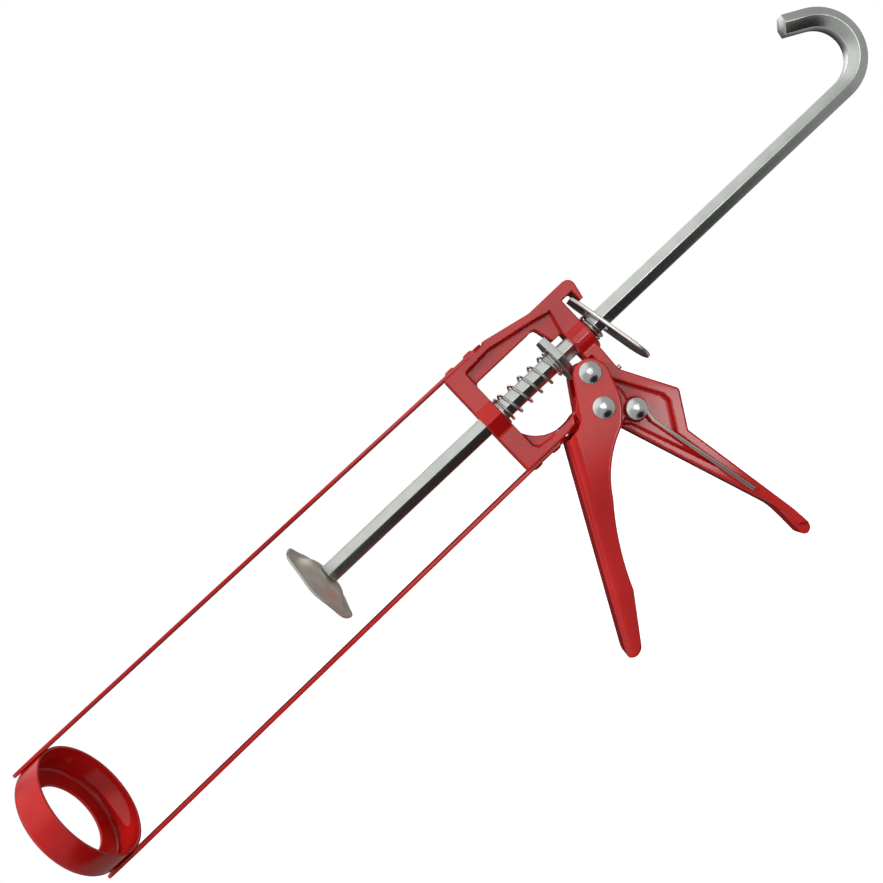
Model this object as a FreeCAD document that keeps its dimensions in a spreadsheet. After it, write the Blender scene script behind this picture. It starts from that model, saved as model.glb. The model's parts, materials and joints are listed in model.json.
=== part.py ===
import FreeCAD, Part
import math
import os
import Sketcher

# A skeleton caulking gun, in millimetres.  X runs along the push rod from the
# nozzle end to the hook, Z is up and the grip hangs down.  The origin is the
# centre of the nozzle hole in the front ring's outer face, on the rod's axis.

VEC = FreeCAD.Vector
X_AXIS = VEC(1, 0, 0)
Y_AXIS = VEC(0, 1, 0)
# a through cut runs this many times the thickness that it goes through
THROUGH = 4
DOC = FreeCAD.newDocument("caulking_gun")
SHEET = DOC.addObject("Spreadsheet::Sheet", "sizes")

# Single sizes.  Lengths are in millimetres and angles in degrees.
SIZES = {
    # front ring
    "ring_outer_d": 54.0,
    "ring_wall": 1.2,
    "ring_depth": 13.7,
    "ring_bend": 2.8,
    "nozzle_hole_d": 34.5,
    # rails: from the ring to the casting's front face is the cartridge bay
    "bay_length": 232.6,
    "rail_thick": 1.5,
    "rail_lead": 2.2,
    "rail_width": 10.0,
    "rail_tail": 20.8,
    "rail_corner_share": 0.45,
    "stud_shank_r": 1.6,
    "stud_head_r": 2.6,
    "stud_head_tall": 0.9,
    "stud_head_taper": 0.7,
    "stud_depth": 3.0,
    "stud_inset": 4.6,
    "stud_pitch": 9.9,
    # frame casting
    "seat_half": 24.2,
    "seat_ledge": 0.4,
    "rib_half": 6.5,
    "low_rib_half": 5.4,
    "web_half": 4.0,
    "top_rib": 3.4,
    "low_rib": 4.4,
    "wall_thick": 8.3,
    "rear_wall": 8.5,
    "rear_face": 55.6,
    "wall_flare": 1.0,
    "wall_flare_drop": 4.0,
    "foot_flare": 4.0,
    "foot_flare_rise": 6.0,
    "low_rib_start": 6.0,
    "shoulder_rib": 2.6,
    "shoulder_run": 0.2,
    "shoulder_rise": 1.3,
    "back_rake": 2.6,
    "back_high": 5.3,
    "back_lap": 1.5,
    "front_boss_af": 17.6,
    "rear_boss_r": 8.2,
    "hub_wall": 2.4,
    "piercer_boss_wall": 2.6,
    "boss_clear": 1.5,
    "boss_lap": 0.6,
    "hook_nose_r": 3.4,
    "heel_r": 2.2,
    "tail_end_r": 3.0,
    "tail_front_r": 2.4,
    "tooth_root_r": 3.2,
    "window_corner_r": 2.0,
    "window_arch_r": 16.3,
    # push rod
    "rod_af": 8.0,
    "rod_bore_gap": 0.3,
    "rod_front": 146.4,
    "rod_bend_x": 427.7,
    "hook_r": 16.2,
    "hook_turn": 152.0,
    "hook_tail": 9.5,
    "spigot_r": 2.8,
    "peen_out": 1.2,
    "peen_tall": 1.2,
    # plunger
    "plunger_r": 18.7,
    "plunger_thick": 1.2,
    "plunger_dome": 4.6,
    "plunger_gap": 0.5,
    "crown_r": 6.2,
    "shoulder_r": 10.6,
    "shoulder_drop": 1.4,
    "brim_r": 14.3,
    "sheet_shift": 0.48,
    "washer_thick": 0.8,
    "plunger_washer_wall": 2.4,
    # plates and springs on the rod
    "plate_af": 20.0,
    "plate_thick": 3.1,
    "plate_rear": 40.9,
    "plate_gap": 0.33,
    "spring_wire": 1.1,
    "spring_gap": 0.3,
    "spring_end_gap": 0.1,
    "drive_turns": 6.5,
    "release_turns": 2.6,
    "release_wire": 1.0,
    "release_thick": 1.5,
    "release_wide": 14.0,
    "release_long": 39.3,
    "release_tilt": 11.4,
    "release_shoulder": 4.0,
    "release_top_share": 0.8,
    "release_gap": 0.48,
    # trigger and its rivets
    "cheek_half": 10.8,
    "sheet_thick": 1.5,
    "bend_r": 4.4,
    "rail_clear": 0.5,
    "web_top_u": 18.7,
    "cheek_low_run": 5.7,
    "cheek_low_rise": 0.7,
    "toe_r": 8.0,
    "toe_back_r": 5.4,
    "palm_r": 120.0,
    "waist_r": 46.0,
    "cheek_back_r": 27.0,
    "cheek_top_r": 9.0,
    "cheek_left_r": 6.9,
    "cheek_low_r": 7.0,
    "drive_pin_r": 2.0,
    "roller_r": 2.85,
    "pivot_r": 2.4,
    "bush_wall": 1.0,
    "pin_fit": 0.05,
    "side_gap": 0.3,
    "head_r": 4.4,
    "head_tall": 2.2,
    "head_edge": 0.5,
    # seal piercer
    "piercer_wire_r": 0.8,
    "piercer_pin_r": 1.9,
    "piercer_head_r": 4.3,
    "piercer_drop": 2.6,
    # small steel pin on the casting's back
    "frame_pin_r": 1.1,
    "frame_pin_out": 2.3,
    "frame_pin_in": 3.0,
    "frame_pin_z": -19.2,
}

# Outline points: distance behind the casting's front face, height above the
# rod's axis.  Each becomes two cells, NAME_u and NAME_z.
POINTS = {
    "brow": (42.8, 20.9),
    "hook_top": (61.0, 20.9),
    "hook_nose": (64.0, 17.4),
    "hook_lip": (62.6, 10.8),
    "hook_inner": (61.0, 10.8),
    "notch_top": (61.0, 15.8),
    "rib_back": (47.4, 16.2),
    "rib_brow": (42.8, 17.5),
    "back_low": (54.2, -5.5),
    "back_waist": (53.6, -19.2),
    "heel": (64.8, -39.4),
    "heel_low": (64.9, -42.3),
    "neck": (57.0, -55.4),
    "tail_back": (65.8, -106.0),
    "tail_tip": (66.6, -114.4),
    "tail_end": (64.2, -117.4),
    "tail_front": (61.9, -116.6),
    "tail_thin": (61.4, -101.1),
    "grip_top": (38.6, -35.4),
    "rim_top": (49.4, -8.0),
    "rim_waist": (49.2, -20.6),
    "rim_heel": (59.4, -38.2),
    "rim_heel_low": (59.7, -41.6),
    "rim_neck": (52.7, -53.4),
    "rim_tail": (63.2, -112.0),
    "low_rim": (42.4, -38.6),
    "low_rim_tail": (63.0, -93.1),
    "low_rib_bend": (26.4, -23.3),
    "low_rib_mid": (16.0, -21.1),
    "window_top": (37.4, 15.0),
    "tooth": (42.3, 6.4),
    "tooth_root": (40.4, 14.4),
    "window_low": (28.6, -19.9),
    "window_side": (8.3, -11.0),
    "roller_floor": (47.1, -15.4),
    "drive_pin": (43.6, -12.3),
    "pivot": (38.1, -25.8),
    "piercer": (47.4, -35.1),
    "release_hinge": (58.9, 14.0),
    "cheek_left": (37.4, -9.3),
    "cheek_front": (29.4, -21.4),
    "web_toe": (-20.6, -101.6),
    "toe_end": (-21.6, -104.6),
    "toe_back": (-14.6, -103.6),
    "toe_floor": (-17.5, -103.2),
    "hollow_foot": (9.4, -103.2),
    "hollow_back": (55.8, -36.1),
    "hollow_top": (55.8, 2.0),
    "trigger_thin": (-1.9, -85.6),
    "trigger_palm": (16.7, -54.3),
    "trigger_waist": (38.3, -36.1),
    "cheek_back": (48.6, -19.6),
    "cheek_top": (49.8, -12.3),
    "piercer_kink": (49.4, -43.0),
    "piercer_end": (59.6, -89.6),
}


class Dim:
    """A size: its number now, and the expression that it stands for."""

    def __init__(self, text, value):
        self.text = text
        self.value = value

    def __add__(self, other):
        return merge(self, "+", other)

    def __radd__(self, other):
        return merge(other, "+", self)

    def __sub__(self, other):
        return merge(self, "-", other)

    def __rsub__(self, other):
        return merge(other, "-", self)

    def __mul__(self, other):
        return merge(self, "*", other)

    def __rmul__(self, other):
        return merge(other, "*", self)

    def __truediv__(self, other):
        return merge(self, "/", other)

    def __neg__(self):
        return merge(-1, "*", self)


def as_dim(number):
    """A plain number as a Dim; a Dim as it is."""
    if isinstance(number, Dim):
        return number
    return Dim("%.9g" % number, float(number))


def merge(left, sign, right):
    """Join two sizes with a sign, as text and as a number."""
    first = as_dim(left)
    second = as_dim(right)
    if sign == "+":
        value = first.value + second.value
    elif sign == "-":
        value = first.value - second.value
    elif sign == "*":
        value = first.value * second.value
    else:
        value = first.value / second.value
    return Dim("(%s %s %s)" % (first.text, sign, second.text), value)


def root(dim):
    """Square root of a size."""
    return Dim("sqrt(%s)" % dim.text, math.sqrt(dim.value))


def cosine(dim):
    """Cosine of an angle in degrees."""
    return Dim("cos(%s * 1 deg)" % dim.text, math.cos(math.radians(dim.value)))


def sine(dim):
    """Sine of an angle in degrees."""
    return Dim("sin(%s * 1 deg)" % dim.text, math.sin(math.radians(dim.value)))


def fill_sheet():
    """Write every size into the sheet and return them by name."""
    table = dict(SIZES)
    for name, (along, height) in POINTS.items():
        table[name + "_u"] = along
        table[name + "_z"] = height
    dims = {}
    for row, (alias, number) in enumerate(table.items(), start=1):
        SHEET.set("A%d" % row, alias)
        SHEET.set("B%d" % row, "%.9g" % number)
        SHEET.setAlias("B%d" % row, alias)
    DOC.recompute()
    for alias in table:
        dims[alias] = Dim("sizes." + alias, float(SHEET.get(alias)))
    return dims


S = fill_sheet()


def spot(name):
    """A named outline point as its X and Z in the gun's frame."""
    return S["bay_length"] + S[name + "_u"], S[name + "_z"]


def rounded(name, radius, turn):
    """A named outline point that is reached by an arc of a named radius."""
    return spot(name) + (S[radius], turn)


# ---------------------------------------------------------------- helpers


def bind(thing, prop, dim):
    """Drive a property by a size."""
    thing.setExpression(prop, as_dim(dim).text)


def move(thing, x=0, y=0, z=0, axis=None, turn=0):
    """Set a placement and drive its place by sizes."""
    angle = as_dim(turn)
    spin = FreeCAD.Rotation(axis or Y_AXIS, angle.value)
    place = VEC(as_dim(x).value, as_dim(y).value, as_dim(z).value)
    thing.Placement = FreeCAD.Placement(place, spin)
    bind(thing, "Placement.Base.x", x)
    bind(thing, "Placement.Base.y", y)
    bind(thing, "Placement.Base.z", z)
    if isinstance(turn, Dim):
        thing.setExpression("Placement.Rotation.Angle", turn.text)


def new_body(label):
    """An empty body with its label."""
    body = DOC.addObject("PartDesign::Body", label)
    body.Label = label
    return body


def new_sketch(body, name, role, lift=None):
    """A sketch on one of the body's own origin planes, lifted along its normal."""
    sketch = body.newObject("Sketcher::SketchObject", name)
    plane = [item for item in body.Origin.OriginFeatures if item.Role == role][0]
    sketch.AttachmentSupport = [(plane, "")]
    sketch.MapMode = "FlatFace"
    if lift is not None:
        sketch.AttachmentOffset = FreeCAD.Placement(VEC(0, 0, lift.value), FreeCAD.Rotation())
        bind(sketch, "AttachmentOffset.Base.z", lift)
    return sketch


def drive(sketch, kind, geo, pos, dim):
    """Hold a sketch point at a driven distance from the sketch's origin."""
    index = sketch.addConstraint(Sketcher.Constraint(kind, -1, 1, geo, pos, dim.value))
    sketch.setExpression("Constraints[%d]" % index, dim.text)


def hold_radius(sketch, geo, dim):
    """Drive the radius of a circle or arc."""
    index = sketch.addConstraint(Sketcher.Constraint("Radius", geo, dim.value))
    sketch.setExpression("Constraints[%d]" % index, dim.text)


def arc_between(first, last, radius, turn):
    """The short arc from first to last; turn is +1 to the left, -1 to the right."""
    chord = last - first
    middle = (first + last) * 0.5
    half = chord.Length / 2
    rise = math.sqrt(max(radius * radius - half * half, 0))
    side = VEC(-chord.y, chord.x, 0).normalize() * (rise * turn)
    centre = middle + side
    start = math.atan2(first.y - centre.y, first.x - centre.x)
    end = math.atan2(last.y - centre.y, last.x - centre.x)
    circle = Part.Circle(centre, VEC(0, 0, 1), radius)
    if turn > 0:
        return Part.ArcOfCircle(circle, start, end if end > start else end + 2 * math.pi)
    return Part.ArcOfCircle(circle, end, start if start > end else start + 2 * math.pi)


def draw(sketch, steps, closed=True):
    """Draw an outline.  A step is (x, z) for a line to that point, or
    (x, z, radius, turn) for an arc to it.  The first step is the start."""
    points = [(as_dim(step[0]), as_dim(step[1])) for step in steps]
    runs = list(steps[1:])
    if closed:
        runs.append(steps[0])
        points.append(points[0])
    pieces = []
    for index, run in enumerate(runs):
        first = VEC(points[index][0].value, points[index][1].value, 0)
        last = VEC(points[index + 1][0].value, points[index + 1][1].value, 0)
        if len(run) == 2:
            geo = sketch.addGeometry(Part.LineSegment(first, last), False)
            pieces.append((geo, 1, 2))
            continue
        radius = as_dim(run[2])
        geo = sketch.addGeometry(arc_between(first, last, radius.value, run[3]), False)
        pieces.append((geo, 1, 2) if run[3] > 0 else (geo, 2, 1))
        hold_radius(sketch, geo, radius)
    for index, (geo, start, end) in enumerate(pieces):
        drive(sketch, "DistanceX", geo, start, points[index][0])
        drive(sketch, "DistanceY", geo, start, points[index][1])
        if index + 1 < len(pieces):
            follower = pieces[index + 1]
            sketch.addConstraint(Sketcher.Constraint("Coincident", geo, end, follower[0], follower[1]))
        elif closed:
            sketch.addConstraint(Sketcher.Constraint("Coincident", geo, end, pieces[0][0], pieces[0][1]))
        else:
            drive(sketch, "DistanceX", geo, end, points[index + 1][0])
            drive(sketch, "DistanceY", geo, end, points[index + 1][1])


def ring_of(sketch, x, z, radius):
    """Draw a driven circle."""
    x, z, radius = as_dim(x), as_dim(z), as_dim(radius)
    geo = sketch.addGeometry(Part.Circle(VEC(x.value, z.value, 0), VEC(0, 0, 1), radius.value), False)
    drive(sketch, "DistanceX", geo, 3, x)
    drive(sketch, "DistanceY", geo, 3, z)
    hold_radius(sketch, geo, radius)


def hexagon(sketch, flats):
    """Draw a hexagon with corners toward +Y and -Y and flats up and down."""
    flats = as_dim(flats)
    corner = flats / root(as_dim(3))
    high = flats / 2
    draw(sketch, [
        (corner, 0),
        (corner / 2, high),
        (-corner / 2, high),
        (-corner, 0),
        (-corner / 2, -high),
        (corner / 2, -high),
    ])


def pad(body, sketch, length, both=True, back=False):
    """Pad a sketch: to both sides of its plane, or forward or back from it."""
    feature = body.newObject("PartDesign::Pad", sketch.Name + "_pad")
    feature.Profile = sketch
    feature.SideType = "Symmetric" if both else "One side"
    feature.Reversed = back
    bind(feature, "Length", length)
    DOC.recompute()
    return feature


def cut(body, sketch, length, both=True, back=False):
    """Pocket a sketch and check that it took something away."""
    before = body.Tip.Shape.Volume
    feature = body.newObject("PartDesign::Pocket", sketch.Name + "_cut")
    feature.Profile = sketch
    feature.SideType = "Symmetric" if both else "One side"
    feature.Reversed = back
    bind(feature, "Length", length)
    DOC.recompute()
    if feature.Shape.isNull() or feature.Shape.Volume > before - 1e-3:
        raise RuntimeError("%s cuts nothing" % sketch.Name)
    return feature


def revolve(body, sketch, axis):
    """Turn a sketch once about one of its own axes."""
    feature = body.newObject("PartDesign::Revolution", sketch.Name + "_turn")
    feature.Profile = sketch
    feature.ReferenceAxis = (sketch, [axis])
    feature.Angle = 360
    DOC.recompute()
    return feature


def round_edges(body, name, radius, choose):
    """Round the edges of the tip that a test chooses."""
    base = body.Tip
    names = ["Edge%d" % (index + 1) for index, edge in enumerate(base.Shape.Edges) if choose(edge)]
    if not names:
        raise RuntimeError("%s finds no edge" % name)
    feature = body.newObject("PartDesign::Fillet", name)
    feature.Base = (base, names)
    bind(feature, "Radius", radius)
    DOC.recompute()
    return feature


def primitive(kind, label, **sizes):
    """A Part primitive with driven sizes."""
    thing = DOC.addObject(kind, label)
    thing.Label = label
    for prop, dim in sizes.items():
        bind(thing, prop, dim)
    return thing


def join(label, parts):
    """Several shapes as one node: touching ones fuse, others stay apart."""
    thing = DOC.addObject("Part::MultiFuse", label)
    thing.Label = label
    thing.Shapes = parts
    return thing


# ---------------------------------------------------------------- front ring


def make_front_ring():
    """Pressed cup: a short cylinder with a front flange round the nozzle hole."""
    body = new_body("front_ring")
    sketch = new_sketch(body, "ring_profile", "XZ_Plane")
    outer = S["ring_outer_d"] / 2
    inner = outer - S["ring_wall"]
    inside_bend = S["ring_bend"] - S["ring_wall"]
    draw(sketch, [
        (S["ring_depth"], outer),
        (S["ring_depth"], inner),
        (S["ring_bend"], inner),
        (S["ring_wall"], inner - inside_bend, inside_bend, 1),
        (S["ring_wall"], S["nozzle_hole_d"] / 2),
        (0, S["nozzle_hole_d"] / 2),
        (0, outer - S["ring_bend"]),
        (S["ring_bend"], outer, S["ring_bend"], -1),
    ])
    revolve(body, sketch, "H_Axis")
    return body


# ---------------------------------------------------------------- rails


def stud_places():
    """X of the two studs that hold a rail's tail."""
    first = S["bay_length"] + S["stud_inset"]
    return [first, first + S["stud_pitch"]]


def make_rail(label, side):
    """Flat strap from the ring to the seat on the casting; side is +1 or -1."""
    body = new_body(label)
    profile = new_sketch(body, label + "_profile", "XZ_Plane")
    at_ring = S["ring_outer_d"] / 2
    at_seat = S["seat_half"]
    thick = S["rail_thick"]
    tail = S["bay_length"] + S["rail_tail"]
    lead = -S["rail_lead"]
    draw(profile, [
        (lead, side * at_ring),
        (S["ring_depth"], side * at_ring),
        (S["bay_length"], side * at_seat),
        (tail, side * at_seat),
        (tail, side * (at_seat + thick)),
        (S["bay_length"], side * (at_seat + thick)),
        (S["ring_depth"], side * (at_ring + thick)),
        (lead, side * (at_ring + thick)),
    ])
    pad(body, profile, S["rail_width"])
    round_edges(body, label + "_ends", S["rail_width"] * S["rail_corner_share"],
                lambda edge: is_upright(edge, lead.value) or is_upright(edge, tail.value))
    for index, place in enumerate(stud_places()):
        middle = side * (at_seat + thick / 2)
        holes = new_sketch(body, "%s_hole_%d" % (label, index), "XY_Plane", middle)
        ring_of(holes, place, 0, S["stud_shank_r"])
        cut(body, holes, thick * THROUGH)
    return body


def is_upright(edge, end_x):
    """Whether an edge is an upright corner at one end of a strap."""
    box = edge.BoundBox
    return abs(box.XMin - end_x) < 1e-3 and box.XLength < 1e-3 and box.YLength < 1e-3


def make_studs(label, side):
    """Two headed studs through a rail's tail into the casting."""
    seat = S["seat_half"]
    long = S["stud_depth"] + S["rail_thick"]
    pieces = []
    for index, place in enumerate(stud_places()):
        shank = primitive(
            "Part::Cylinder", "%s_shank_%d" % (label, index), Radius=S["stud_shank_r"], Height=long)
        head = primitive(
            "Part::Cone", "%s_head_%d" % (label, index), Radius1=S["stud_head_r"],
            Radius2=S["stud_head_r"] * S["stud_head_taper"], Height=S["stud_head_tall"])
        flip = 0 if side > 0 else 180
        move(shank, place, 0, side * (seat - S["stud_depth"]), X_AXIS, flip)
        move(head, place, 0, side * (seat + S["rail_thick"]), X_AXIS, flip)
        pieces += [shank, head]
    return join(label, pieces)


# ---------------------------------------------------------------- casting


def seat_end():
    """X where the casting's two seats for the rails end."""
    return S["bay_length"] + S["rail_tail"] + S["seat_ledge"]


def hook_outline():
    """The casting's top from the shoulder back round the hook to the notch."""
    return [
        (seat_end(), S["seat_half"]),
        (seat_end() + S["shoulder_run"], S["seat_half"] + S["shoulder_rise"]),
        spot("brow"),
        spot("hook_top"),
        rounded("hook_nose", "hook_nose_r", -1),
        spot("hook_lip"),
        spot("hook_inner"),
        spot("notch_top"),
        (S["bay_length"] + S["rear_face"], S["notch_top_z"]),
    ]


def heel_outline():
    """The casting's back from under the rod down to the grip's tip."""
    return [
        spot("back_low"),
        spot("back_waist"),
        spot("heel"),
        rounded("heel_low", "heel_r", -1),
        spot("neck"),
        spot("tail_back"),
        spot("tail_tip"),
    ]


def tip_outline():
    """The grip's rounded end and the start of its front edge."""
    return [
        rounded("tail_end", "tail_end_r", -1),
        rounded("tail_front", "tail_front_r", -1),
        spot("tail_thin"),
    ]


def make_casting():
    """Cast frame: thin web with ribs round the window, hook, and grip tail."""
    body = new_body("frame_casting")
    rear = S["bay_length"] + S["rear_face"]

    web = new_sketch(body, "web", "XZ_Plane")
    draw(web, [(S["bay_length"], S["seat_half"])] + hook_outline() + [
        (rear, S["back_high"]),
    ] + heel_outline() + tip_outline() + [
        spot("grip_top"),
        (seat_end(), -S["seat_half"]),
        (S["bay_length"], -S["seat_half"]),
    ])
    pad(body, web, S["web_half"] * 2)
    pad_ribs(body)
    pad_rims(body)
    cut_window(body)
    pad_bosses(body)
    cut_bores(body)
    return body


def pad_ribs(body):
    """The casting's front wall and its upper and lower ribs."""
    face = S["bay_length"]
    seat = S["seat_half"]
    rib = S["rib_half"] * 2
    wall_back = face + S["wall_thick"]
    front_wall = new_sketch(body, "front_wall", "XZ_Plane")
    draw(front_wall, [
        (face, seat),
        (wall_back + S["wall_flare"], seat),
        (wall_back, seat - S["wall_flare_drop"]),
        (wall_back, S["foot_flare_rise"] - seat),
        (wall_back + S["foot_flare"], -seat),
        (face, -seat),
    ])
    pad(body, front_wall, rib)

    top_rib = new_sketch(body, "upper_rib", "XZ_Plane")
    draw(top_rib, [(face, seat)] + hook_outline() + [
        spot("rib_back"),
        spot("rib_brow"),
        (seat_end(), seat - S["shoulder_rib"]),
        (wall_back, seat - S["top_rib"]),
        (face, seat - S["top_rib"]),
    ])
    pad(body, top_rib, rib)

    low_rib = new_sketch(body, "lower_rib", "XZ_Plane")
    draw(low_rib, [
        (face, -seat),
        (seat_end(), -seat),
        spot("low_rib_bend"),
        spot("window_low"),
        spot("low_rib_mid"),
        (face + S["low_rib_start"], S["low_rib"] - seat),
        (face, S["low_rib"] - seat),
    ])
    pad(body, low_rib, rib)


def pad_rims(body):
    """The casting's back wall and the two rims down the grip."""
    rear = S["bay_length"] + S["rear_face"]
    rear_front = rear - S["rear_wall"]
    rib = S["rib_half"] * 2
    # the wall's top runs up inside the upper rib, so that they share no edge
    lap = S["notch_top_z"] + S["back_lap"]
    back = new_sketch(body, "back_wall", "XZ_Plane")
    draw(back, [
        (rear, lap),
        (rear, S["back_high"]),
        spot("back_low"),
        spot("rim_top"),
        (rear_front, S["rim_top_z"]),
        (rear_front, S["tooth_z"]),
        (rear_front + S["back_rake"], lap),
    ])
    pad(body, back, rib)

    rim = new_sketch(body, "rear_rim", "XZ_Plane")
    draw(rim, heel_outline() + [
        spot("rim_tail"),
        spot("rim_neck"),
        spot("rim_heel_low"),
        spot("rim_heel"),
        spot("rim_waist"),
        spot("rim_top"),
    ])
    pad(body, rim, rib)

    front_rim = new_sketch(body, "front_rim", "XZ_Plane")
    draw(front_rim, [
        spot("grip_top"),
        spot("low_rim"),
        spot("low_rim_tail"),
        spot("rim_tail"),
        spot("tail_tip"),
    ] + tip_outline())
    pad(body, front_rim, S["low_rib_half"] * 2)


def cut_window(body):
    """The window that the spring, the grip plate and the roller work in."""
    wall_back = S["bay_length"] + S["wall_thick"]
    rear_front = S["bay_length"] + S["rear_face"] - S["rear_wall"]
    corner = S["window_corner_r"]
    pivot_x, pivot_z = spot("pivot")
    # two corners lie inside the pivot's boss, which is padded afterwards
    lap = pivot_boss_radius() * S["boss_lap"]
    window = new_sketch(body, "window", "XZ_Plane")
    draw(window, [
        (wall_back, S["window_top_z"] - corner),
        (wall_back + corner, S["window_top_z"], corner, -1),
        spot("window_top"),
        rounded("tooth_root", "tooth_root_r", -1),
        spot("tooth"),
        (rear_front, S["tooth_z"]),
        (rear_front, S["roller_floor_z"]),
        (pivot_x + lap, pivot_z + lap),
        (pivot_x - lap, pivot_z + lap),
        spot("window_low"),
        rounded("window_side", "window_arch_r", -1),
    ])
    cut(body, window, S["rib_half"] * THROUGH)


def pad_bosses(body):
    """Bosses round the rod's two bearings and the two rivets."""
    face = S["bay_length"]
    rib = S["rib_half"] * 2
    bosses = new_sketch(body, "rivet_bosses", "XZ_Plane")
    ring_of(bosses, *spot("pivot"), pivot_boss_radius())
    ring_of(bosses, *spot("piercer"), S["piercer_pin_r"] + S["piercer_boss_wall"])
    pad(body, bosses, rib)

    hub = new_sketch(body, "pivot_hub", "XZ_Plane")
    ring_of(hub, *spot("pivot"), S["pivot_r"] + S["bush_wall"] + S["hub_wall"])
    pad(body, hub, between_cheeks())

    rear_boss = new_sketch(body, "rear_boss", "YZ_Plane", face + S["rear_face"] - S["rear_wall"])
    ring_of(rear_boss, 0, 0, S["rear_boss_r"])
    pad(body, rear_boss, S["rear_wall"], both=False)

    front_boss = new_sketch(body, "front_boss", "YZ_Plane", face)
    hexagon(front_boss, S["front_boss_af"])
    pad(body, front_boss, S["wall_thick"], both=False)


def cut_bores(body):
    """Holes for the rod, the rivets, the rails' studs and the small steel pin."""
    bore = new_sketch(body, "rod_bore", "YZ_Plane", S["bay_length"] + S["rear_face"] / 2)
    hexagon(bore, S["rod_af"] + S["rod_bore_gap"] * 2)
    cut(body, bore, S["rear_face"] * 2)

    pins = new_sketch(body, "rivet_bores", "XZ_Plane")
    ring_of(pins, *spot("pivot"), S["pivot_r"] + S["bush_wall"])
    ring_of(pins, *spot("piercer"), S["piercer_pin_r"])
    cut(body, pins, S["rib_half"] * THROUGH)

    for side, word in ((1, "top"), (-1, "low")):
        for index, place in enumerate(stud_places()):
            name = "stud_bore_%s_%d" % (word, index)
            sketch = new_sketch(body, name, "XY_Plane", side * S["seat_half"])
            ring_of(sketch, place, 0, S["stud_shank_r"])
            cut(body, sketch, S["stud_depth"], both=False, back=side < 0)

    peg = new_sketch(body, "pin_bore", "YZ_Plane", spot("back_waist")[0] - S["frame_pin_in"])
    ring_of(peg, 0, S["frame_pin_z"], S["frame_pin_r"])
    cut(body, peg, S["frame_pin_in"] * 2, both=False, back=True)


def between_cheeks():
    """Length along Y of what runs free between the trigger's cheeks."""
    return (S["cheek_half"] - S["sheet_thick"] - S["side_gap"]) * 2


def pivot_boss_radius():
    """The pivot boss reaches to just short of the roller's path."""
    across = S["drive_pin_u"] - S["pivot_u"]
    up = S["drive_pin_z"] - S["pivot_z"]
    return root(across * across + up * up) - S["roller_r"] - S["boss_clear"]


def make_frame_pin():
    """Short steel pin that stands out of the casting's back."""
    pin = primitive("Part::Cylinder", "frame_pin", Radius=S["frame_pin_r"],
                    Height=S["frame_pin_in"] + S["frame_pin_out"])
    move(pin, spot("back_waist")[0] - S["frame_pin_in"], 0, S["frame_pin_z"], Y_AXIS, 90)
    return pin


# ---------------------------------------------------------------- push rod


def make_push_rod():
    """Hexagonal rod with a riveted spigot in front and a hook behind."""
    body = new_body("push_rod")
    spine = new_sketch(body, "rod_spine", "XZ_Plane")
    turn = S["hook_turn"]
    bend = S["hook_r"]
    end_x = S["rod_bend_x"] + bend * sine(turn)
    end_z = bend - bend * cosine(turn)
    tip_x = end_x + S["hook_tail"] * cosine(turn)
    tip_z = end_z + S["hook_tail"] * sine(turn)
    mid_x = S["rod_bend_x"] + bend * sine(turn / 2)
    mid_z = bend - bend * cosine(turn / 2)
    draw(spine, [
        (S["rod_front"], 0),
        (S["rod_bend_x"], 0),
        (mid_x, mid_z, bend, 1),
        (end_x, end_z, bend, 1),
        (tip_x, tip_z),
    ], closed=False)
    section = new_sketch(body, "rod_section", "YZ_Plane", S["rod_front"])
    hexagon(section, S["rod_af"])
    pipe = body.newObject("PartDesign::AdditivePipe", "rod_pipe")
    pipe.Profile = section
    pipe.Spine = (spine, ["Edge1", "Edge2", "Edge3", "Edge4"])
    DOC.recompute()
    spigot = new_sketch(body, "spigot", "YZ_Plane", S["rod_front"])
    ring_of(spigot, 0, 0, S["spigot_r"])
    pad(body, spigot, S["rod_front"] - head_rear(), both=False, back=True)
    head = new_sketch(body, "spigot_head", "YZ_Plane", head_rear())
    ring_of(head, 0, 0, S["spigot_r"] + S["peen_out"])
    pad(body, head, S["peen_tall"], both=False, back=True)
    return body


def dome_front():
    """X of the front face of the plunger's dome."""
    return S["rod_front"] - S["plunger_gap"] - S["plunger_thick"]


def head_rear():
    """X of the back of the spigot's peened head."""
    return dome_front() - S["pin_fit"] - S["washer_thick"]


def make_plunger():
    """Pressed plunger plate: a flat rim with its middle raised toward the rod."""
    body = new_body("plunger_plate")
    sketch = new_sketch(body, "plunger_profile", "XZ_Plane")
    thick = S["plunger_thick"]
    top = dome_front()
    shoulder = top - S["shoulder_drop"]
    brim = top - S["plunger_dome"]
    hole = S["spigot_r"] + S["pin_fit"]
    # the sheet keeps its thickness round the shoulder, so its back lies further out
    back = S["sheet_shift"]
    draw(sketch, [
        (top, hole),
        (top, S["crown_r"]),
        (shoulder, S["shoulder_r"]),
        (brim, S["brim_r"]),
        (brim, S["plunger_r"]),
        (brim + thick, S["plunger_r"]),
        (brim + thick, S["brim_r"] + back),
        (shoulder + thick, S["shoulder_r"] + back),
        (top + thick, S["crown_r"] + back),
        (top + thick, hole),
    ])
    revolve(body, sketch, "H_Axis")
    return body


def make_tube(label, outer, inner, length):
    """A plain sleeve or washer along +Z of its own frame."""
    sleeve = primitive("Part::Cylinder", label + "_outer", Radius=outer, Height=length)
    hole = primitive("Part::Cylinder", label + "_hole", Radius=inner, Height=length * THROUGH)
    move(hole, 0, 0, -length)
    tube = DOC.addObject("Part::Cut", label)
    tube.Label = label
    tube.Base = sleeve
    tube.Tool = hole
    return tube


# ---------------------------------------------------------------- plates, springs


def rod_corner():
    """Distance from the rod's axis to its corners."""
    return S["rod_af"] / root(as_dim(3))


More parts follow.
